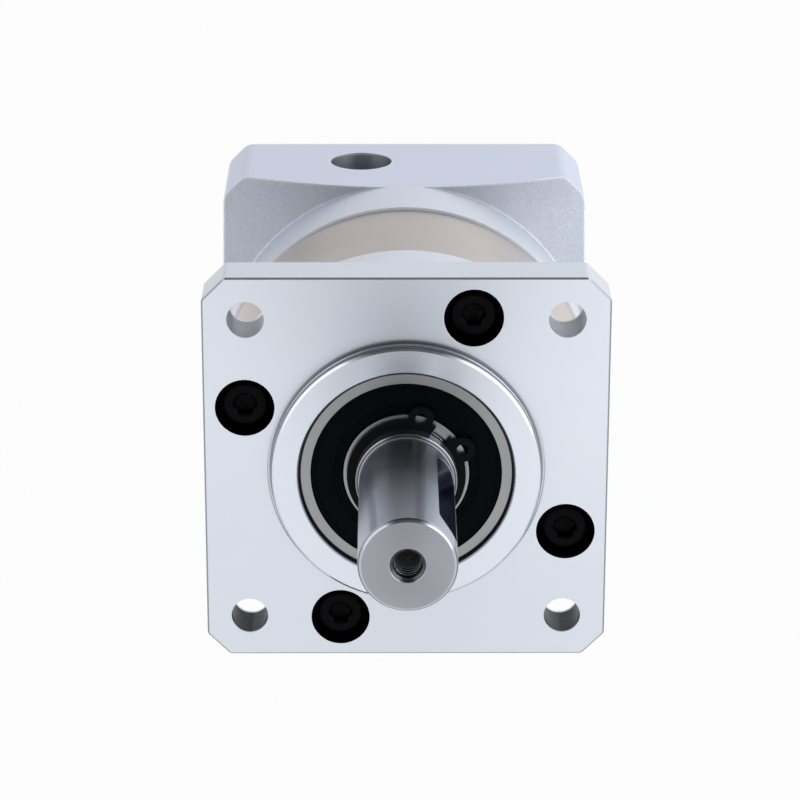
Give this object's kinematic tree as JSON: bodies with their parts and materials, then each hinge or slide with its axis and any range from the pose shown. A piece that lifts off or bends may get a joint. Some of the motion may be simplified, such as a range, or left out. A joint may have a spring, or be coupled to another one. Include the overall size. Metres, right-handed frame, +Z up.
{
  "type": "planetary gearbox",
  "caption": "In-line planetary gearbox with square flange, pilot boss, keyed output shaft and square motor adapter with clamp hub.",
  "frame": {"origin": "on the gear axis, in the front face of the output flange", "axes": "-Y out along the output shaft, +Y along the gear axis to the motor, +Z up, towards the clamp screw's access hole"},
  "size_m": [0.06, 0.11, 0.06],
  "materials": {
    "flange_aluminium": "fine satin machined face",
    "adapter_aluminium": "satin anodised, blasted cone corners",
    "ring_steel": "turned, warm grey",
    "shaft_steel": "ground",
    "gear_steel": "hobbed and oiled",
    "bearing_steel": "ground",
    "bush_bronze": "turned bronze",
    "black_screw": "black oxide",
    "black_spring_steel": "black phosphate",
    "seal_rubber": "moulded, slightly glossy"
  },
  "bodies": {
    "housing": {"output_housing": "flange_aluminium", "ring_gear": "ring_steel", "motor_adapter": "adapter_aluminium", "front_screws": "black_screw", "rear_screws": "black_screw", "front_bearing_outer_ring": "bearing_steel", "front_bearing_seal": "seal_rubber", "rear_bearing_outer_ring": "bearing_steel", "input_bearing_outer_ring": "bearing_steel", "input_bearing_seal": "seal_rubber"},
    "output": {"output_shaft": "shaft_steel", "planet_carrier": "gear_steel", "output_retaining_ring": "black_spring_steel", "front_bearing_inner_ring": "bearing_steel", "rear_bearing_inner_ring": "bearing_steel", "planet_pin_1": "gear_steel", "planet_pin_2": "gear_steel", "planet_pin_3": "gear_steel"},
    "input": {"input_shaft_sun": "gear_steel", "clamp_screw": "black_screw", "input_bearing_inner_ring": "bearing_steel"},
    "planet_1": {"planet_gear_1": "gear_steel", "planet_bush_1": "bush_bronze"},
    "planet_2": {"planet_gear_2": "gear_steel", "planet_bush_2": "bush_bronze"},
    "planet_3": {"planet_gear_3": "gear_steel", "planet_bush_3": "bush_bronze"},
    "front_ball_set": {"front_bearing_balls": "bearing_steel"},
    "rear_ball_set": {"rear_bearing_balls": "bearing_steel"},
    "input_ball_set": {"input_bearing_balls": "bearing_steel"}
  },
  "joints": [
    {"name": "output_spin", "type": "hinge", "parent": "housing", "child": "output", "pos_m": [0, 0, 0], "axis": [0, 1, 0], "continuous": true},
    {"name": "input_spin", "type": "hinge", "parent": "housing", "child": "input", "pos_m": [0, 0, 0], "axis": [0, 1, 0], "continuous": true},
    {"name": "planet_1_spin", "type": "hinge", "parent": "output", "child": "planet_1", "pos_m": [0, 0, 0.0135], "axis": [0, 1, 0], "continuous": true},
    {"name": "planet_2_spin", "type": "hinge", "parent": "output", "child": "planet_2", "pos_m": [0.01169, 0, -0.00675], "axis": [0, 1, 0], "continuous": true},
    {"name": "planet_3_spin", "type": "hinge", "parent": "output", "child": "planet_3", "pos_m": [-0.01169, 0, -0.00675], "axis": [0, 1, 0], "continuous": true},
    {"name": "front_balls_spin", "type": "hinge", "parent": "housing", "child": "front_ball_set", "pos_m": [0, 0, 0], "axis": [0, 1, 0], "continuous": true},
    {"name": "rear_balls_spin", "type": "hinge", "parent": "housing", "child": "rear_ball_set", "pos_m": [0, 0, 0], "axis": [0, 1, 0], "continuous": true},
    {"name": "input_balls_spin", "type": "hinge", "parent": "housing", "child": "input_ball_set", "pos_m": [0, 0, 0], "axis": [0, 1, 0], "continuous": true}
  ],
  "couplings": [
    {"joint": "input_spin", "follows": "output_spin", "ratio": 4},
    {"joint": "planet_1_spin", "follows": "output_spin", "ratio": -3},
    {"joint": "planet_2_spin", "follows": "output_spin", "ratio": -3},
    {"joint": "planet_3_spin", "follows": "output_spin", "ratio": -3},
    {"joint": "front_balls_spin", "follows": "output_spin", "ratio": 0.39872},
    {"joint": "rear_balls_spin", "follows": "output_spin", "ratio": 0.40308},
    {"joint": "input_balls_spin", "follows": "output_spin", "ratio": 1.7415}
  ]
}
